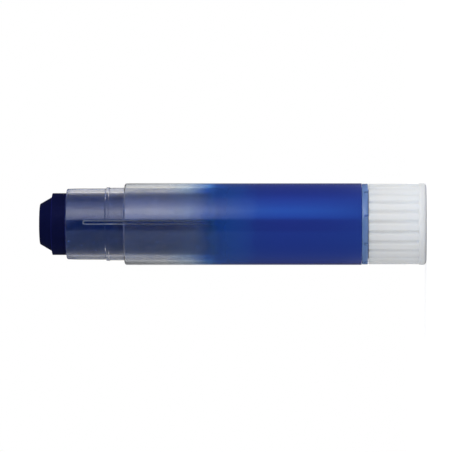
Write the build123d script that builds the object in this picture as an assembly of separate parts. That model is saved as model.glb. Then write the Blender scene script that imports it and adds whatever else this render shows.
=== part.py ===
from build123d import *
from math import cos, radians
import os

# A twist-up pigment stick: a cast stick of colour in a clear tube, wound out by the knob
# it stands on. Millimetres. The origin is the middle of the knob's flat end, and +Z runs
# up the tube's axis to the tip. It is drawn wound fully down, with the tip still showing.

# Barrel, the printed outer sleeve, whose outside sets every round below
barrel_d = 16.0
barrel_len = 46.5
sleeve_wall = 0.83
barrel_mouth_round = 0.5
barrel_foot_chamfer_h = 0.4
barrel_foot_chamfer_w = 0.2

# Guide tube, the clear inner tube that the stick slides in
tube_wall = 0.97
neck_len = 11.35
neck_step = 0.13
neck_lead_h = 2.0
neck_lead_in = 0.08
neck_mouth_round = 0.2
bead_out = 0.11
bead_h = 1.0
bead_below_mouth = 8.05
flange_step = 0.08
flange_h = 1.2
flange_edge = 0.12
tail_len = 2.5
tail_wall = 0.6
tail_bead_out = 0.25
tail_bead_h = 0.7
tail_bead_chamfer = 0.25
rib_count = 2
rib_w = 0.8
rib_h = 0.35
rib_below_mouth = 3.3
notch_count = 9
notch_d = 0.7
notch_h = 0.75
notch_turn = 7.8

# Turn knob
knob_h = 11.3
knob_step = 0.12
rim_h = 1.45
rim_foot_round = 0.75
rim_bevel_h = 0.2
knob_floor = 1.4
knob_wall_below_disc = 1.7
knob_mouth_chamfer = 0.2
flute_count = 24
flute_r = 0.5
flute_depth = 0.28
boss_d = 6.4

# Drive spindle
disc_z = 5.0
disc_h = 1.5
collar_d = 6.0
hex_across = 3.6
screw_w = 4.4
screw_t = 2.6
screw_lead = 5.0
screw_tip_chamfer = 0.4

# Carrier, the cup and nut that the screw drives
carrier_above_tail = 1.1
carrier_h = 6.5
carrier_floor = 1.5
carrier_wall = 0.85
nut_wall = 1.4
nut_h = 5.0

# Pigment stick
tip_out = 5.3
tip_shoulder_w = 0.7
tip_cone_h = 2.43
tip_cone_w = 1.42
tip_edge_round = 0.15
lift = 50.0

# Clearances
sleeve_fit = 0.05
stick_fit = 0.15
carrier_fit = 0.1
knob_gap = 0.1
tail_fit = 0.08
snap_gap = 0.1
press_gap = 0.02
hex_gap = 0.02
stop_gap = 0.2
thread_gap = 0.15
screw_clear = 0.25
rib_clear = 0.15
cast_gap = 0.03

# Levels worked out from the sizes above
flange_z = knob_h + knob_gap
sleeve_z = flange_z + flange_h
sleeve_top = sleeve_z + barrel_len
mouth_z = sleeve_top + neck_len
tip_z = mouth_z + tip_out
shoulder_z = tip_z - tip_cone_h
bead_z = mouth_z - bead_below_mouth
rib_top = mouth_z - rib_below_mouth
tail_z = flange_z - tail_len
disc_top = disc_z + disc_h
carrier_z = tail_z + carrier_above_tail
carrier_top = carrier_z + carrier_h
nut_top = carrier_z + nut_h
collar_top = carrier_z - stop_gap
screw_top = nut_top + lift + stop_gap
stick_bore_top = screw_top + screw_clear

# Radii, from the barrel's outside inwards
barrel_r = barrel_d / 2
flange_r = barrel_r - flange_step
crest_r = barrel_r - knob_step
sleeve_bore_r = barrel_r - sleeve_wall
tube_r = sleeve_bore_r - sleeve_fit
bore_r = tube_r - tube_wall
tail_r = bore_r + tail_wall
tail_bead_r = tail_r + tail_bead_out
tail_bore_r = tail_r + tail_fit
snap_r = tail_bead_r + tail_fit
lip_z = tail_z + tail_bead_h + snap_gap
disc_r = tail_r
rib_face_r = bore_r - rib_h
groove_floor_r = rib_face_r - rib_clear
groove_w = rib_w + 2 * rib_clear
stick_r = bore_r - stick_fit
carrier_r = bore_r - carrier_fit
cup_r = carrier_r - carrier_wall
screw_hole_r = screw_w / 2 + screw_clear
nut_r = screw_w / 2 + nut_wall


def turned(*points):
    """A solid of revolution about Z from (radius, height) points, joined in order."""
    outline = make_face(Plane.XZ * Polyline(*points, close=True))
    return revolve(outline, Axis.Z)


def around(count, first_turn=0.0):
    """Places spaced evenly about Z, the first one facing -Y, each with its own +X outward."""
    return [Rot(0, 0, first_turn - 90 + step * 360 / count) for step in range(count)]


def edges_at(solid, height, radius):
    """The round edges of a turned solid at one height and one radius."""
    circles = solid.edges().filter_by(GeomType.CIRCLE)
    return [
        edge for edge in circles
        if abs(edge.center().Z - height) < 1e-4 and abs(edge.radius - radius) < 1e-4
    ]


def twisted(width, thickness, low, high):
    """A two-start coarse screw: a flat bar with round sides, twisted left-handed about Z.

    Its turn is counted from the foot of the carrier, so a nut and a screw are in step.
    """
    start = -360 * (low - carrier_z) / screw_lead
    bar = Pos(0, 0, low) * Rot(0, 0, start) * SlotOverall(width, thickness)
    length = high - low
    turn = -360 * length / screw_lead
    return Solid.extrude_linear_with_rotation(bar.face(), (0, 0, low), (0, 0, length), turn)


def rib_bar(width, inner_r, outer_r, low, high):
    """A straight bar along Z on the +X side, with a half-round upper end."""
    depth = outer_r - inner_r
    middle = (outer_r + inner_r) / 2
    straight = high - width / 2 - low
    bar = Pos(middle, 0, low + straight / 2) * Box(depth, width, straight)
    end = Pos(middle, 0, high - width / 2) * Rot(0, 90, 0) * Cylinder(width / 2, depth)
    return bar + end


def make_guide_tube():
    neck_r = tube_r - neck_step
    mouth_r = neck_r - neck_lead_in
    bead_r = tube_r + bead_out
    bead_low = bead_z - bead_h / 2
    bead_high = bead_z + bead_h / 2
    with BuildPart() as tube:
        with BuildSketch(Plane.XZ):
            with BuildLine():
                Polyline(
                    (bead_r - bead_h / 4, bead_low),
                    (tube_r, bead_low),
                    (tube_r, sleeve_z),
                    (flange_r - flange_edge, sleeve_z),
                    (flange_r, sleeve_z - flange_edge),
                    (flange_r, flange_z + flange_edge),
                    (flange_r - flange_edge, flange_z),
                    (tail_r, flange_z),
                    (tail_r, tail_z + tail_bead_h),
                    (tail_bead_r, tail_z + tail_bead_h),
                    (tail_bead_r, tail_z + tail_bead_chamfer),
                    (tail_bead_r - tail_bead_chamfer, tail_z),
                    (bore_r, tail_z),
                    (bore_r, mouth_z),
                    (mouth_r - neck_mouth_round, mouth_z),
                )
                RadiusArc(
                    (mouth_r - neck_mouth_round, mouth_z),
                    (mouth_r, mouth_z - neck_mouth_round),
                    neck_mouth_round,
                )
                Polyline(
                    (mouth_r, mouth_z - neck_mouth_round),
                    (neck_r, mouth_z - neck_lead_h),
                    (neck_r, bead_high),
                )
                ThreePointArc(
                    (neck_r, bead_high),
                    (bead_r, bead_z),
                    (bead_r - bead_h / 4, bead_low),
                )
            make_face()
        revolve(axis=Axis.Z)
    solid = tube.part
    for place in around(rib_count):
        solid += place * rib_bar(rib_w, rib_face_r, bore_r + rib_h / 2, tail_z, rib_top)
    notch = Pos(flange_r, 0, flange_z + notch_h / 2) * Cylinder(notch_d / 2, notch_h)
    for place in around(notch_count, notch_turn):
        solid -= place * notch
    return solid


def make_barrel_sleeve():
    shell = turned(
        (sleeve_bore_r, sleeve_z),
        (barrel_r - barrel_foot_chamfer_w, sleeve_z),
        (barrel_r, sleeve_z + barrel_foot_chamfer_h),
        (barrel_r, sleeve_top),
        (sleeve_bore_r, sleeve_top),
    )
    return fillet(edges_at(shell, sleeve_top, barrel_r), barrel_mouth_round)


def make_turn_knob():
    well_r = disc_r + press_gap
    low_r = crest_r - knob_wall_below_disc
    body = turned(
        (0, 0),
        (barrel_r, 0),
        (barrel_r, rim_h - rim_bevel_h),
        (crest_r, rim_h),
        (crest_r, knob_h - knob_mouth_chamfer),
        (crest_r - knob_mouth_chamfer, knob_h),
        (tail_bore_r, knob_h),
        (tail_bore_r, lip_z),
        (snap_r, lip_z),
        (snap_r, tail_z - snap_gap),
        (well_r, tail_z - snap_gap),
        (well_r, disc_z),
        (low_r, disc_z),
        (low_r, knob_floor),
        (0, knob_floor),
    )
    body = fillet(edges_at(body, 0, barrel_r), rim_foot_round)
    body += Pos(0, 0, (knob_floor + disc_z) / 2) * Cylinder(boss_d / 2, disc_z - knob_floor)
    socket_across = hex_across + 2 * hex_gap
    body -= Pos(0, 0, knob_floor) * hex_bar(socket_across, disc_z - knob_floor)
    flute_h = knob_h - rim_h
    flute = Pos(crest_r + flute_r - flute_depth, 0, rim_h + flute_h / 2)
    flute *= Cylinder(flute_r, flute_h)
    for place in around(flute_count):
        body -= place * flute
    return body


def hex_bar(across, height):
    corner_r = across / 2 / cos(radians(30))
    return extrude(RegularPolygon(corner_r, 6), height)


def make_drive_spindle():
    foot_h = disc_z - knob_floor - press_gap
    foot = Pos(0, 0, disc_z - foot_h) * hex_bar(hex_across, foot_h)
    disc = Pos(0, 0, disc_z + disc_h / 2) * Cylinder(disc_r, disc_h)
    collar_h = collar_top - disc_top
    collar = Pos(0, 0, disc_top + collar_h / 2) * Cylinder(collar_d / 2, collar_h)
    screw = twisted(screw_w, screw_t, collar_top - screw_tip_chamfer, screw_top)
    screw_r = screw_w / 2
    trim = turned(
        (0, collar_top - screw_tip_chamfer),
        (2 * screw_r, collar_top - screw_tip_chamfer),
        (2 * screw_r, screw_top - screw_tip_chamfer - screw_r),
        (screw_r - screw_tip_chamfer, screw_top),
        (0, screw_top),
    )
    return foot + disc + collar + (screw & trim)


def rib_grooves(low, high):
    """The two ways for the tube's ribs, cut in the carrier and in the cast stick."""
    past_wall = bore_r + rib_clear
    groove = rib_bar(groove_w, groove_floor_r, past_wall, low, high)
    return [place * groove for place in around(rib_count)]


def make_carrier():
    cup = turned(
        (0, carrier_z),
        (carrier_r, carrier_z),
        (carrier_r, carrier_top),
        (cup_r, carrier_top),
        (cup_r, carrier_z + carrier_floor),
        (nut_r, carrier_z + carrier_floor),
        (nut_r, nut_top),
        (0, nut_top),
    )
    width = screw_w + 2 * thread_gap
    thickness = screw_t + 2 * thread_gap
    cup -= twisted(width, thickness, carrier_z, nut_top)
    for groove in rib_grooves(carrier_z, carrier_top + groove_w):
        cup -= groove
    return cup


def make_pigment_stick():
    stub_r = cup_r - cast_gap
    foot_z = carrier_z + carrier_floor
    hub_hole_r = nut_r + cast_gap
    cone_r = stick_r - tip_shoulder_w
    face_r = cone_r - tip_cone_w
    stick = turned(
        (hub_hole_r, foot_z),
        (stub_r, foot_z),
        (stub_r, carrier_top),
        (stick_r, carrier_top),
        (stick_r, shoulder_z),
        (cone_r, shoulder_z),
        (face_r, tip_z),
        (0, tip_z),
        (0, stick_bore_top + screw_hole_r / 2),
        (screw_hole_r, stick_bore_top),
        (screw_hole_r, nut_top),
        (hub_hole_r, nut_top),
    )
    stick = fillet(edges_at(stick, tip_z, face_r), tip_edge_round)
    for groove in rib_grooves(carrier_top - rib_clear, rib_top + rib_clear):
        stick -= groove
    return stick


pieces = {
    "guide_tube": make_guide_tube(),
    "barrel_sleeve": make_barrel_sleeve(),
    "turn_knob": make_turn_knob(),
    "drive_spindle": make_drive_spindle(),
    "carrier": make_carrier(),
    "pigment_stick": make_pigment_stick(),
}

os.makedirs("parts", exist_ok=True)
for name, piece in pieces.items():
    piece.label = name
    export_step(piece, f"parts/{name}.step")
    print(name, "solids", len(piece.solids()), "volume", round(piece.volume, 2))
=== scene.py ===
import math

import bmesh
import bpy
from mathutils import Matrix, Vector


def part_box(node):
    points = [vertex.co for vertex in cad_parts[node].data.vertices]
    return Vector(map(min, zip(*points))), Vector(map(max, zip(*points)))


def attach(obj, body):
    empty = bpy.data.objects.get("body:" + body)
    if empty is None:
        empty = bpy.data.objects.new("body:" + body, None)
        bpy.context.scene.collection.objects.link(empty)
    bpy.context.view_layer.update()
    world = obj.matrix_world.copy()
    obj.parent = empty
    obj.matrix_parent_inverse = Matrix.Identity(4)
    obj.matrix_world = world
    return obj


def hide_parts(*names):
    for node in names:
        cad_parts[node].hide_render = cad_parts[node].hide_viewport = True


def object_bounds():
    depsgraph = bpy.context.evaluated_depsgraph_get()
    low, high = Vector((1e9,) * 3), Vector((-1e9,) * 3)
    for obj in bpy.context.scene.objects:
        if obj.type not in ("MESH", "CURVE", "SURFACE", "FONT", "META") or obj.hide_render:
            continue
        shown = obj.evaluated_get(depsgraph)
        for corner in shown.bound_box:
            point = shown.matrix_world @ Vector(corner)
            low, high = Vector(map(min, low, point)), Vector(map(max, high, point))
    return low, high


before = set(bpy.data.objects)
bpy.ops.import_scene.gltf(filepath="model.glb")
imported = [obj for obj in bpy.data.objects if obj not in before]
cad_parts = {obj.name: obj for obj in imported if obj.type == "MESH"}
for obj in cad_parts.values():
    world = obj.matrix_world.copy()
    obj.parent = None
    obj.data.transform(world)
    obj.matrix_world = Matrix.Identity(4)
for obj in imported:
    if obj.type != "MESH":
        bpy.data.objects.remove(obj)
cad_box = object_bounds()


# ---- Drive spindle ----
# The twisted screw with its disc and hexagonal foot, moulded in white polypropylene and
# pressed into the boss inside the knob. It keeps its own solid and gets a satin finish.

MM = 0.001


def new_material(name):
    """A node material with one Principled shader; gives both, and the piece's own coordinates."""
    material = bpy.data.materials.new(name)
    material.use_nodes = True
    nodes = material.node_tree.nodes
    links = material.node_tree.links
    nodes.clear()
    shader = nodes.new("ShaderNodeBsdfPrincipled")
    output = nodes.new("ShaderNodeOutputMaterial")
    links.new(shader.outputs["BSDF"], output.inputs["Surface"])
    place = nodes.new("ShaderNodeTexCoord")
    return material, shader, place.outputs["Object"]


def noise(shader, place, scale, detail=3.0, stretch=None):
    """A cloud of values in the piece's own coordinates, about 0 to 1, with `scale` cells per mm."""
    tree = shader.id_data
    texture = tree.nodes.new("ShaderNodeTexNoise")
    texture.inputs["Scale"].default_value = scale / MM
    texture.inputs["Detail"].default_value = detail
    source = place
    if stretch:
        mapping = tree.nodes.new("ShaderNodeMapping")
        mapping.inputs["Scale"].default_value = stretch
        tree.links.new(place, mapping.inputs["Vector"])
        source = mapping.outputs["Vector"]
    tree.links.new(source, texture.inputs["Vector"])
    return texture.outputs["Fac"]


def ramp(shader, value, low_in, high_in, low_out, high_out, smooth=False):
    """`value` carried from one range to another and held at the ends."""
    tree = shader.id_data
    node = tree.nodes.new("ShaderNodeMapRange")
    node.interpolation_type = "SMOOTHSTEP" if smooth else "LINEAR"
    ends = {"From Min": low_in, "From Max": high_in, "To Min": low_out, "To Max": high_out}
    for socket, number in ends.items():
        node.inputs[socket].default_value = number
    tree.links.new(value, node.inputs["Value"])
    return node.outputs["Result"]


def tint(shader, value, first, second):
    """A colour between two colours, by `value`. The node takes them at its inputs 6 and 7."""
    tree = shader.id_data
    node = tree.nodes.new("ShaderNodeMix")
    node.data_type = "RGBA"
    tree.links.new(value, node.inputs["Factor"])
    for socket, colour in ((6, first), (7, second)):
        if hasattr(colour, "is_linked"):
            tree.links.new(colour, node.inputs[socket])
        else:
            node.inputs[socket].default_value = (*colour, 1.0)
    return node.outputs[2]


def math_node(shader, operation, first, second=None):
    """One sum on values or sockets."""
    tree = shader.id_data
    node = tree.nodes.new("ShaderNodeMath")
    node.operation = operation
    for socket, value in zip(node.inputs, (first, second)):
        if value is None:
            continue
        if hasattr(value, "is_linked"):
            tree.links.new(value, socket)
        else:
            socket.default_value = value
    return node.outputs[0]


def bump(shader, height, depth):
    """Fine relief on the surface, `depth` in metres for a full step of `height`."""
    tree = shader.id_data
    node = tree.nodes.new("ShaderNodeBump")
    node.inputs["Distance"].default_value = depth
    tree.links.new(height, node.inputs["Height"])
    tree.links.new(node.outputs["Normal"], shader.inputs["Normal"])


def feed(shader, socket, value):
    """Drives one of the shader's sockets by a value that changes over the surface."""
    shader.id_data.links.new(value, shader.inputs[socket])


white_plastic, shader, place = new_material("white_polypropylene")
cloud = noise(shader, place, 0.6)
feed(shader, "Base Color", tint(shader, cloud, (0.70, 0.71, 0.72), (0.80, 0.81, 0.82)))
feed(shader, "Roughness", ramp(shader, noise(shader, place, 3.0), 0.3, 0.7, 0.38, 0.5))
bump(shader, noise(shader, place, 8.0), 0.000004)
shader.inputs["Subsurface Weight"].default_value = 0.15
shader.inputs["Subsurface Radius"].default_value = (0.8 * MM, 0.8 * MM, 0.9 * MM)
shader.inputs["Subsurface Scale"].default_value = 1.0


def smooth(piece, crease):
    """Smooth shading, with edges over `crease` degrees kept sharp."""
    piece.data.shade_smooth()
    piece.data.set_sharp_from_angle(angle=math.radians(crease))


def finish_node(name, material):
    """Gives a piece that keeps its own solid its material."""
    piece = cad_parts[name]
    piece.data.materials.clear()
    piece.data.materials.append(material)
    smooth(piece, 30)


finish_node("drive_spindle", white_plastic)


# ---- Turn knob ----
# A deep cup moulded in natural, milky polypropylene, with a closed flat end, a smooth rim
# and fine flutes for grip. It snaps over the tail of the guide tube and turns on it.

knob_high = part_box("turn_knob")[1]
spindle_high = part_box("drive_spindle")[1]
tube_low, tube_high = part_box("guide_tube")
rim_r = knob_high.x
knob_top = knob_high.z
crest_r = rim_r - 0.12 * MM
rim_top = 1.45 * MM
floor_top = 1.4 * MM
wall_below_disc = 1.7 * MM
low_well_r = crest_r - wall_below_disc
boss_r = 3.2 * MM
socket_r = 2.12 * MM
disc_z = 5.0 * MM
disc_r = spindle_high.x
disc_well_r = disc_r + 0.02 * MM
# the tube's tail is as wide as the disc, and its bead snaps into a groove in the knob
tail_r = disc_r
tail_bead_out = 0.25 * MM
tail_bead_top = tube_low.z + 0.7 * MM
tail_fit = 0.08 * MM
snap_gap = 0.1 * MM
snap_r = tail_r + tail_bead_out + tail_fit
snap_low = tube_low.z - snap_gap
snap_high = tail_bead_top + snap_gap
lip_r = tail_r + tail_fit
flute_count = 24
flute_r = 0.5 * MM
flute_depth = 0.28 * MM
flute_fade = 0.25 * MM


def rounded(corners, steps=6):
    """A closed outline from (radius, height, round) corners, each turned into an arc of its round."""
    outline = []
    for index, (r, z, fillet) in enumerate(corners):
        here = Vector((r, z))
        # the points before and after, seen from this one
        before = Vector(corners[index - 1][:2]) - here
        after = Vector(corners[(index + 1) % len(corners)][:2]) - here
        if fillet <= 0:
            outline.append(here)
            continue
        half = before.angle(after) / 2
        reach = min(fillet / math.tan(half), 0.49 * before.length, 0.49 * after.length)
        radius = reach * math.tan(half)
        start = here + before.normalized() * reach
        end = here + after.normalized() * reach
        inward = (before.normalized() + after.normalized()).normalized()
        centre = here + inward * (radius / math.sin(half))
        for step in range(steps + 1):
            share = step / steps
            spoke = (start - centre).lerp(end - centre, share).normalized() * radius
            outline.append(centre + spoke)
    return outline


def new_piece(name, mesh):
    """Puts a finished mesh in the scene as a piece."""
    bmesh.ops.recalc_face_normals(mesh, faces=mesh.faces)
    data = bpy.data.meshes.new(name)
    mesh.to_mesh(data)
    mesh.free()
    piece = bpy.data.objects.new(name, data)
    bpy.context.scene.collection.objects.link(piece)
    return piece


def lathe(name, outline, sides, radius_at=None):
    """A closed turned mesh about Z from a closed (radius, height) outline.

    Points on the axis are shared by all sides. `radius_at` may change a radius by its angle and height.
    """
    mesh = bmesh.new()
    rings = []
    for r, z in outline:
        if r < 1e-7:
            rings.append([mesh.verts.new((0, 0, z))])
            continue
        ring = []
        for side in range(sides):
            angle = 2 * math.pi * side / sides
            reach = radius_at(r, z, angle) if radius_at else r
            ring.append(mesh.verts.new((reach * math.cos(angle), reach * math.sin(angle), z)))
        rings.append(ring)
    for index, ring in enumerate(rings):
        following = rings[(index + 1) % len(rings)]
        if len(ring) == 1 and len(following) == 1:
            continue
        for side in range(sides):
            onward = (side + 1) % sides
            corners = [ring[side % len(ring)], ring[onward % len(ring)]]
            corners += [following[onward % len(following)], following[side % len(following)]]
            distinct = list(dict.fromkeys(corners))
            mesh.faces.new(distinct)
    return new_piece(name, mesh)


def fluted(r, z, angle):
    """The knob's outer wall, hollowed by the flutes between the rim and the mouth."""
    if r < crest_r - 0.35 * MM or z < rim_top:
        return r
    pitch = 2 * math.pi / flute_count
    # a flute faces -Y, and the rest follow at even steps
    offset = (angle + math.pi / 2 + pitch / 2) % pitch - pitch / 2
    along = abs(offset * crest_r)
    half_width = math.sqrt(flute_r ** 2 - (flute_r - flute_depth) ** 2)
    if along >= half_width:
        return r
    hollow = math.sqrt(flute_r ** 2 - along ** 2) - (flute_r - flute_depth)
    # the flute runs out in a quarter round at its foot
    grown = min(1.0, (z - rim_top) / flute_fade)
    return min(r, crest_r - hollow * math.sqrt(grown * (2 - grown)))


knob_outline = rounded([
    (0, 0, 0),
    (rim_r, 0, 0.75 * MM),
    (rim_r, rim_top - 0.1 * MM, 0.1 * MM),
    (crest_r, rim_top, 0.05 * MM),
    (crest_r, rim_top + 0.06 * MM, 0),
    (crest_r, rim_top + 0.14 * MM, 0),
    (crest_r, rim_top + flute_fade, 0),
    (crest_r, knob_top, 0.2 * MM),
    (lip_r, knob_top, 0.1 * MM),
    (lip_r, snap_high, 0.05 * MM),
    (snap_r, snap_high, 0.05 * MM),
    (snap_r, snap_low, 0.05 * MM),
    (disc_well_r, snap_low, 0.05 * MM),
    (disc_well_r, disc_z, 0.05 * MM),
    (low_well_r, disc_z, 0.05 * MM),
    (low_well_r, floor_top, 0.3 * MM),
    (boss_r, floor_top, 0.2 * MM),
    (boss_r, disc_z, 0.1 * MM),
    (socket_r, disc_z, 0),
    (socket_r, floor_top, 0),
    (0, floor_top, 0),
])
sides_per_flute = 16
knob = lathe("milky_knob", knob_outline, flute_count * sides_per_flute, fluted)
smooth(knob, 28)


def axes(shader, place):
    """The coordinates of a place, as sockets named X, Y and Z."""
    tree = shader.id_data
    split = tree.nodes.new("ShaderNodeSeparateXYZ")
    tree.links.new(place, split.inputs[0])
    return split.outputs


milky, shader, place = new_material("milky_polypropylene")
cloud = noise(shader, place, 0.25)
height = axes(shader, place)["Z"]
milk = tint(shader, cloud, (0.825, 0.86, 0.985), (0.87, 0.90, 0.998))
# the blue tail of the tube is faintly seen through the knob's upper end
near_tube = ramp(shader, height, knob_top - 2.1 * MM, knob_top, 0.0, 0.5)
feed(shader, "Base Color", tint(shader, near_tube, milk, (0.72, 0.80, 0.93)))
feed(shader, "Roughness", ramp(shader, noise(shader, place, 2.0), 0.3, 0.7, 0.30, 0.42))
shader.inputs["IOR"].default_value = 1.49
shader.inputs["Transmission Weight"].default_value = 0.18
shader.inputs["Subsurface Weight"].default_value = 1.0
shader.inputs["Subsurface Radius"].default_value = (1.0, 1.05, 1.15)
shader.inputs["Subsurface Scale"].default_value = 1.5 * MM
shader.inputs["Specular IOR Level"].default_value = 0.4
bump(shader, noise(shader, place, 1.2), 0.00001)
knob.data.materials.append(milky)
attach(knob, "knob")
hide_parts("turn_knob")


# ---- Guide tube ----
# The inner tube, moulded in clear plastic: a neck with a snap bead for the cap, a flange
# that sits on the knob, and two ribs in the bore that keep the stick's carrier from turning.

sleeve_low, sleeve_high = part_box("barrel_sleeve")
stick_low, stick_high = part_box("pigment_stick")
mouth_z = tube_high.z
flange_r = tube_high.x
tube_r = 7.12 * MM
bore_r = 6.15 * MM
neck_r = tube_r - 0.13 * MM
mouth_r = neck_r - 0.08 * MM
bead_r = tube_r + 0.11 * MM
bead_z = mouth_z - 8.05 * MM
bead_half = 0.38 * MM
flange_low = knob_top + 0.1 * MM
flange_high = sleeve_low.z
rib_top = mouth_z - 3.3 * MM
rib_face_r = bore_r - 0.35 * MM
rib_w = 0.92 * MM

tube_outline = rounded([
    (bore_r, tube_low.z, 0.1 * MM),
    (tail_r, tube_low.z, 0.05 * MM),
    (tail_r + tail_bead_out, tube_low.z + tail_bead_out, 0.05 * MM),
    (tail_r + tail_bead_out, tail_bead_top, 0.05 * MM),
    (tail_r, tail_bead_top, 0.05 * MM),
    (tail_r, flange_low, 0.1 * MM),
    (flange_r, flange_low, 0.14 * MM),
    (flange_r, flange_high, 0.14 * MM),
    (tube_r, flange_high, 0.1 * MM),
    (tube_r, bead_z - bead_half, 0.04 * MM),
    (bead_r, bead_z - 0.26 * MM, 0.05 * MM),
    (bead_r, bead_z + 0.22 * MM, 0.05 * MM),
    (neck_r, bead_z + bead_half, 0.04 * MM),
    (neck_r, mouth_z - 2.0 * MM, 0.5 * MM),
    (mouth_r, mouth_z, 0.2 * MM),
    (bore_r, mouth_z, 0.12 * MM),
])
round_sides = 256
tube = lathe("clear_guide_tube", tube_outline, round_sides)


def rib_bar(name, inner_r, outer_r, width, low, high, turn, slope=0.0):
    """A straight bar along the bore with a half-round upper end, facing `turn` degrees from +X.

    Its sides and end lean in by `slope` between its outer and its inner face.
    """
    mesh = bmesh.new()
    steps = 12

    def outline(half):
        centre = high - width / 2
        edge = [(-half, low), (half, low)]
        for step in range(steps + 1):
            angle = math.pi * step / steps
            edge.append((half * math.cos(angle), centre + half * math.sin(angle)))
        return edge

    near = [mesh.verts.new((inner_r, across, z)) for across, z in outline(width / 2 - slope)]
    far = [mesh.verts.new((outer_r, across, z)) for across, z in outline(width / 2)]
    mesh.faces.new(near)
    mesh.faces.new(list(reversed(far)))
    for index in range(len(near)):
        onward = (index + 1) % len(near)
        mesh.faces.new((near[index], far[index], far[onward], near[onward]))
    bmesh.ops.rotate(mesh, verts=mesh.verts, matrix=Matrix.Rotation(math.radians(turn), 3, "Z"))
    return new_piece(name, mesh)


def combine(piece, tool, operation):
    """Joins the tool to the piece or cuts it away, and removes the tool."""
    modifier = piece.modifiers.new("shape", "BOOLEAN")
    modifier.operation = operation
    modifier.solver = "EXACT"
    modifier.object = tool
    bpy.context.view_layer.update()
    depsgraph = bpy.context.evaluated_depsgraph_get()
    shaped = bpy.data.meshes.new_from_object(piece.evaluated_get(depsgraph))
    piece.modifiers.clear()
    piece.data = shaped
    bpy.data.objects.remove(tool)


rib_turns = (-90, 90)
rib_slope = 0.23 * MM
rib_root_r = bore_r + 0.2 * MM
for turn in rib_turns:
    rib = rib_bar("rib", rib_face_r, rib_root_r, rib_w, tube_low.z + 0.1 * MM, rib_top, turn, rib_slope)
    combine(tube, rib, "UNION")

# small notches in the flange's lower edge, evenly spaced
notch_count = 9
notch_r = 0.35 * MM
notch_depth = 0.75 * MM
first_notch = -82.2
for step in range(notch_count):
    angle = math.radians(first_notch + 360 * step / notch_count)
    notch = bmesh.new()
    bmesh.ops.create_cone(
        notch, cap_ends=True, segments=20, radius1=notch_r, radius2=notch_r, depth=2 * notch_depth,
    )
    centre = Vector((flange_r * math.cos(angle), flange_r * math.sin(angle), flange_low))
    bmesh.ops.translate(notch, verts=notch.verts, vec=centre)
    combine(tube, new_piece("notch", notch), "DIFFERENCE")
smooth(tube, 28)

clear, shader, place = new_material("clear_moulded_plastic")
axis = axes(shader, place)
height = axis["Z"]
squares = [math_node(shader, "MULTIPLY", part, part) for part in (axis["X"], axis["Y"])]
reach = math_node(shader, "SQRT", math_node(shader, "ADD", *squares))
# a thin blue layer on the bore: partly rubbed pigment, and partly painted sheen that stands in for the
# stick's surface lit through the clear walls; the painted sheen is made thicker under the sleeve to lighten
# it there, and a few denser flecks are pigment
on_bore = ramp(shader, reach, bore_r + 0.04 * MM, bore_r + 0.08 * MM, 1.0, 0.0)
smear_and_sheen_depth = ramp(shader, height, sleeve_high.z - 0.5 * MM, sleeve_high.z + 0.5 * MM, 0.48, 0.20)
patchy = ramp(shader, noise(shader, place, 0.5, 4.0), 0.3, 0.7, 0.9, 1.1)
flecks = ramp(shader, noise(shader, place, 1.3, 2.0), 0.70, 0.73, 0.0, 0.5)
smear_and_sheen = math_node(shader, "ADD", math_node(shader, "MULTIPLY", smear_and_sheen_depth, patchy), flecks)
smear_and_sheen = math_node(shader, "MULTIPLY", smear_and_sheen, on_bore)
# painted light: the flange and the tail are tinted blue, standing in for light coloured by the blue print
# beside them
low_down = ramp(shader, height, flange_high + 1.9 * MM, flange_high - 0.2 * MM, 0.0, 1.0)
# painted light: the clear body turns blue towards the flange
body = tint(shader, low_down, (0.88, 0.89, 0.91), (0.26, 0.45, 0.85))
# the bore takes the light blue of the pigment and the painted sheen
feed(shader, "Base Color", tint(shader, on_bore, body, (0.05, 0.20, 0.90)))
haze = ramp(shader, noise(shader, place, 0.5), 0.35, 0.7, 1.0, 0.985)
haze = math_node(shader, "MULTIPLY", haze, ramp(shader, low_down, 0, 1, 1, 0.62))
feed(shader, "Transmission Weight", math_node(shader, "SUBTRACT", haze, smear_and_sheen))
shader.inputs["IOR"].default_value = 1.49
# the tube's surface shines less where the sleeve lies close over it
covered = ramp(shader, height, sleeve_high.z - 0.3 * MM, sleeve_high.z, 0.12, 0.5)
bare_flange = ramp(shader, low_down, 0, 1, 0, 0.5)
feed(shader, "Specular IOR Level", math_node(shader, "MAXIMUM", covered, bare_flange))
feed(shader, "Roughness", ramp(shader, noise(shader, place, 1.5, 4.0, (1, 1, 0.25)), 0.35, 0.7, 0.04, 0.12))
bump(shader, noise(shader, place, 0.35, 2.0), 0.000008)
tube.data.materials.clear()
tube.data.materials.append(clear)

# painted highlight: a pale, nearly opaque finish for the ribs' sides and ends, standing in for light
# glinting off them inside the clear tube
glint_edge, shader, place = new_material("rib_edges_painted_glint")
shader.inputs["Base Color"].default_value = (0.84, 0.92, 1.0, 1)
feed(shader, "Transmission Weight", ramp(shader, noise(shader, place, 1.5), 0.3, 0.7, 0.0, 0.1))
shader.inputs["Roughness"].default_value = 0.35
shader.inputs["IOR"].default_value = 1.49
bump(shader, noise(shader, place, 4.0), 0.00001)
tube.data.materials.append(glint_edge)
# painted highlight: the sloping sides and the round end of each rib, but not its crest, take the pale,
# nearly opaque finish that stands in for light caught on them inside the clear plastic
for face in tube.data.polygons:
    reach = math.hypot(face.center.x, face.center.y)
    on_rib = rib_face_r - 0.05 * MM < reach < bore_r + 0.02 * MM and abs(face.center.x) < rib_w
    below_top = face.center.z < rib_top + 0.02 * MM
    turned_aside = 0.3 < abs(face.normal.x) + abs(face.normal.z)
    if on_rib and below_top and turned_aside:
        face.material_index = 1
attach(tube, "tube")
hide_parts("guide_tube")


# ---- Barrel sleeve ----
# The outer sleeve, pressed over the guide tube down to the flange. It is the same clear
# plastic, sprayed in a soft fade from clear at the neck to solid blue at the knob.

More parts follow.
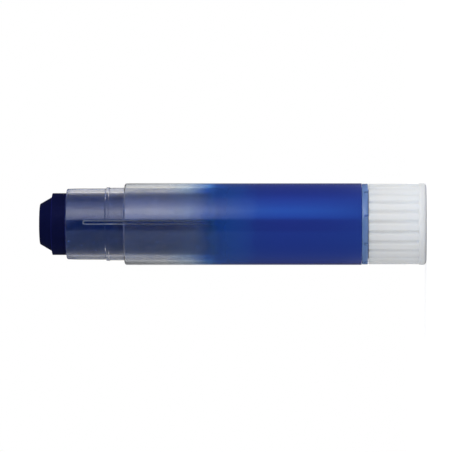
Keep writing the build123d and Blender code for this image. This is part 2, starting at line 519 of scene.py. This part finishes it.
sleeve_r = sleeve_high.x
sleeve_bore_r = tube_r + 0.05 * MM
sleeve_outline = rounded([
    (sleeve_bore_r, flange_high + 0.02 * MM, 0.08 * MM),
    (sleeve_r - 0.06 * MM, flange_high + 0.02 * MM, 0.03 * MM),
    (sleeve_r, flange_high + 0.1 * MM, 0.04 * MM),
    (sleeve_r, sleeve_high.z, 0.5 * MM),
    (sleeve_bore_r, sleeve_high.z, 0.1 * MM),
])
sleeve = lathe("faded_barrel_sleeve", sleeve_outline, round_sides)
smooth(sleeve, 28)

printed, shader, place = new_material("clear_to_blue_print")
tree = shader.id_data
height = axes(shader, place)["Z"]
# cloudy edges: the spray reaches up to 1.5 mm higher or lower
grain = noise(shader, place, 0.5, 4.0)
wander = math_node(shader, "MULTIPLY", math_node(shader, "SUBTRACT", grain, 0.5), 3 * MM)
level = math_node(shader, "ADD", height, wander)
# height in mm, colour, and how clear the sleeve still is there
spray = (
    (28.0, (0.0145, 0.027, 0.200), 0.0),
    (33.0, (0.0135, 0.029, 0.200), 0.04),
    (38.5, (0.016, 0.072, 0.36), 0.47),
    (40.5, (0.020, 0.105, 0.50), 0.71),
    (42.5, (0.085, 0.28, 0.78), 0.905),
    (46.5, (0.62, 0.76, 0.95), 0.965),
    (51.0, (0.84, 0.87, 0.92), 0.984),
    (53.0, (0.84, 0.87, 0.92), 0.984),
)
fade_low = spray[0][0]
fade_high = spray[-1][0]
coat = tree.nodes.new("ShaderNodeValToRGB")
tree.links.new(ramp(shader, level, fade_low * MM, fade_high * MM, 0.0, 1.0), coat.inputs[0])
stops = coat.color_ramp.elements
for at, colour, clearness in spray[1:-1]:
    stops.new((at - fade_low) / (fade_high - fade_low))
for stop, (at, colour, clearness) in zip(stops, spray):
    stop.color = (*colour, clearness)
feed(shader, "Base Color", coat.outputs["Color"])
feed(shader, "Transmission Weight", coat.outputs["Alpha"])
feed(shader, "Roughness", ramp(shader, coat.outputs["Alpha"], 0.0, 1.0, 0.17, 0.06))
shader.inputs["IOR"].default_value = 1.49
feed(shader, "Specular Tint", tint(shader, coat.outputs["Alpha"], (0.05, 0.32, 1.0), (1.0, 1.0, 1.0)))
feed(shader, "Specular IOR Level", ramp(shader, coat.outputs["Alpha"], 0.0, 1.0, 0.85, 0.42))
bump(shader, noise(shader, place, 0.5, 3.0), 0.00001)
sleeve.data.materials.append(printed)
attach(sleeve, "tube")
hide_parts("barrel_sleeve")


# ---- Carrier ----
# The cup and nut that holds the foot of the stick and rides up the screw, moulded in the
# same white plastic as the spindle.

finish_node("carrier", white_plastic)


# ---- Pigment stick ----
# The stick of colour, cast in place as one waxy block. Its tip is a truncated cone on a
# small shoulder, and two grooves down its sides pass the tube's ribs.

stick_r = stick_high.x + 0.07 * MM
tip_z = stick_high.z
shoulder_z = tip_z - 2.43 * MM
carrier_low, carrier_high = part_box("carrier")
cone_r = stick_r - 0.7 * MM
face_r = cone_r - 1.42 * MM
stub_r = 5.17 * MM
hub_r = 3.63 * MM
screw_hole_r = 2.45 * MM
nut_top = carrier_low.z + 5.0 * MM
bore_end = spindle_high.z + 0.25 * MM

stick_outline = rounded([
    (hub_r, stick_low.z, 0.05 * MM),
    (stub_r, stick_low.z, 0.1 * MM),
    (stub_r, carrier_high.z, 0.05 * MM),
    (stick_r, carrier_high.z, 0.1 * MM),
    (stick_r, shoulder_z, 0.12 * MM),
    (cone_r, shoulder_z, 0.08 * MM),
    (face_r, tip_z, 0.2 * MM),
    (0, tip_z, 0),
    (0, bore_end + screw_hole_r / 2, 0),
    (screw_hole_r, bore_end, 0),
    (screw_hole_r, nut_top, 0),
    (hub_r, nut_top, 0),
])
stick = lathe("cast_pigment", stick_outline, round_sides)
rib_clear = 0.15 * MM
for turn in rib_turns:
    groove = rib_bar(
        "groove", rib_face_r - rib_clear, bore_r + rib_clear, rib_w + 0.2 * MM,
        carrier_high.z - rib_clear, rib_top + rib_clear, turn,
    )
    combine(stick, groove, "DIFFERENCE")
smooth(stick, 25)

pigment, shader, place = new_material("waxy_blue_pigment")
cloud = noise(shader, place, 0.35, 4.0)
height = axes(shader, place)["Z"]
colour = tint(shader, cloud, (0.0004, 0.0014, 0.022), (0.0012, 0.0028, 0.037))
# two thin rings of brighter blue, just below the shoulder's edge and just above the tube's mouth
for level, reach in ((shoulder_z - 0.03 * MM, 0.09 * MM), (mouth_z + 0.08 * MM, 0.08 * MM)):
    off = math_node(shader, "ABSOLUTE", math_node(shader, "SUBTRACT", height, level))
    colour = tint(shader, ramp(shader, off, 0.5 * reach, reach, 0.55, 0.0), colour, (0.006, 0.008, 0.13))
feed(shader, "Base Color", colour)
feed(shader, "Roughness", ramp(shader, noise(shader, place, 1.2, 4.0), 0.3, 0.7, 0.45, 0.65))
shader.inputs["IOR"].default_value = 1.45
shader.inputs["Specular IOR Level"].default_value = 0.06
bump(shader, noise(shader, place, 0.9, 4.0), 0.00005)
stick.data.materials.clear()
stick.data.materials.append(pigment)
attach(stick, "stick")
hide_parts("pigment_stick")


# ---- Studio ----
# A pale floor under the knob, one large soft box to the side of the camera, and a white
# surround that gives the fill, the reflections and what shows through the clear plastic.

floor_mesh = bpy.data.meshes.new("floor")
half = 0.3
corners = [(-half, -half, 0), (half, -half, 0), (half, half, 0), (-half, half, 0)]
floor_mesh.from_pydata(corners, [], [(0, 1, 2, 3)])
floor = bpy.data.objects.new("floor", floor_mesh)
bpy.context.scene.collection.objects.link(floor)
floor_paint, shader, place = new_material("pale_floor")
shader.inputs["Base Color"].default_value = (0.82, 0.82, 0.82, 1)
shader.inputs["Roughness"].default_value = 0.9
shader.inputs["Specular IOR Level"].default_value = 0.1
tree = shader.id_data
rays = tree.nodes.new("ShaderNodeLightPath")
glow = math_node(shader, "MULTIPLY", rays.outputs["Is Camera Ray"], 0.35)
shader.inputs["Emission Color"].default_value = (1, 1, 1, 1)
tree.links.new(glow, shader.inputs["Emission Strength"])
floor.data.materials.append(floor_paint)

middle = Vector((0, 0, (cad_box[0][2] + cad_box[1][2]) / 2))


def soft_box(name, turn, rise, distance, width, tall, power):
    """A rectangular lamp aimed at the middle of the piece; `turn` is measured from -Y towards +X."""
    lamp = bpy.data.lights.new(name, "AREA")
    lamp.shape = "RECTANGLE"
    lamp.size = width
    lamp.size_y = tall
    lamp.energy = power
    lamp.color = (0.96, 0.975, 1.0)
    holder = bpy.data.objects.new(name, lamp)
    turn = math.radians(turn)
    rise = math.radians(rise)
    direction = Vector((math.sin(turn) * math.cos(rise), -math.cos(turn) * math.cos(rise), math.sin(rise)))
    holder.location = middle + direction * distance
    holder.rotation_euler = (-direction).to_track_quat("-Z", "Z").to_euler()
    holder.visible_glossy = False
    holder.visible_transmission = False
    bpy.context.scene.collection.objects.link(holder)


soft_box("main_soft_box", 46, 12, 0.5, 0.53, 0.6, 0.95)

world = bpy.data.worlds.new("studio")
bpy.context.scene.world = world
world.use_nodes = True
tree = world.node_tree
tree.nodes.clear()
rays = tree.nodes.new("ShaderNodeLightPath")
surround = tree.nodes.new("ShaderNodeBackground")
output = tree.nodes.new("ShaderNodeOutputWorld")
tree.links.new(surround.outputs[0], output.inputs[0])
# the way a ray leaves the piece: its heading round the piece from -Y, and how steep it is
way = tree.nodes.new("ShaderNodeTexCoord")
axis = axes(surround, way.outputs["Generated"])
front = math_node(surround, "MULTIPLY", axis["Y"], -1)
heading = math_node(surround, "ARCTAN2", axis["X"], front)
share = ramp(surround, heading, -math.pi, math.pi, 0.0, 1.0)
steep = math_node(surround, "ABSOLUTE", axis["Z"])
above = ramp(surround, steep, 0.45, 0.65, 0.0, 1.0, smooth=True)
# colours in the surround are stored as parts of its strength
brightest = 3


def room(levels):
    """The studio's brightness round the piece, from (heading in degrees, colour or grey level) stops."""
    panels = tree.nodes.new("ShaderNodeValToRGB")
    tree.links.new(share, panels.inputs[0])
    stops = panels.color_ramp.elements
    for at, level in levels[1:-1]:
        stops.new(at / 360 + 0.5)
    for stop, (at, level) in zip(stops, levels):
        colour = level if isinstance(level, tuple) else (level, level, level)
        stop.color = (*(part / brightest for part in colour), 1)
    return tint(surround, above, panels.outputs[0], (0.02, 0.025, 0.035))


dim = (0.15, 0.20, 0.36)
dim_mirrored = (0.28, 0.35, 0.45)
box_panel = (
    (9, 0.0), (14, (1.15, 1.3, 1.9)), (22, (1.65, 1.75, 2.35)), (34, (2.5, 2.6, 3.0)),
    (45, (1.9, 1.98, 2.5)), (55, (1.25, 1.33, 1.85)), (66, (0.75, 0.85, 1.4)),
)
mirrored = room((
    (-180, 0.25), (-150, 0.08), (-100, dim_mirrored), (-26, dim_mirrored), (-20, 0.0), *box_panel,
    (83, (0.2, 0.25, 0.5)), (100, 0.08), (150, 0.15), (180, 0.4),
))
seen_through = room((
    (-180, 1.0), (-170, 0.40), (-156, 0.22), (-143, 0.38), (-132, (0.74, 0.7, 0.64)),
    (-118, (0.62, 0.6, 0.58)), (-90, (0.16, 0.2, 0.30)), (-60, dim), (-26, dim), (-20, 0.0), *box_panel,
    (83, 0.45), (95, 0.40), (125, (1.0, 0.95, 0.84)), (138, (1.0, 0.96, 0.86)),
    (146, (0.62, 0.62, 0.66)), (153, 1.0), (172, 1.0), (180, 1.0),
))
# the fill on the piece is a little stronger from +X and from the camera's side
from_side = ramp(surround, axis["X"], -1, 1, 0.25, 0.357)
from_front = ramp(surround, front, -1, 1, 0.7, 1.2)
shade = math_node(surround, "MULTIPLY", from_side, from_front)
shade = tint(surround, rays.outputs["Is Glossy Ray"], shade, mirrored)
shade = tint(surround, rays.outputs["Is Transmission Ray"], shade, seen_through)
shade = tint(surround, rays.outputs["Is Camera Ray"], shade, (1 / brightest,) * 3)
tree.links.new(shade, surround.inputs["Color"])
surround.inputs["Strength"].default_value = brightest

# The camera lies on its side, so the tip points left; a long lens far off keeps it nearly flat.
camera_distance = 0.89
camera_height = 14.95 * MM
view_width = 88.68 * MM
view_centre = Vector((-0.375 * MM, 0, 39.25 * MM))
swing = math.radians(-2.8)
camera = bpy.data.cameras.new("camera")
camera.sensor_width = 36
camera.lens = camera.sensor_width * camera_distance / view_width
camera.clip_start = 0.01
camera.clip_end = 10
camera_holder = bpy.data.objects.new("camera", camera)
spot = Vector((math.sin(swing) * camera_distance, -math.cos(swing) * camera_distance, camera_height))
spot.x += view_centre.x
back = (spot - view_centre).normalized()
right = (Vector((0, 0, -1)) + back * back.z).normalized()
up = back.cross(right)
camera_holder.matrix_world = Matrix.Translation(spot) @ Matrix((right, up, back)).transposed().to_4x4()
bpy.context.scene.collection.objects.link(camera_holder)
bpy.context.scene.camera = camera_holder
bpy.context.scene.view_settings.view_transform = "Standard"
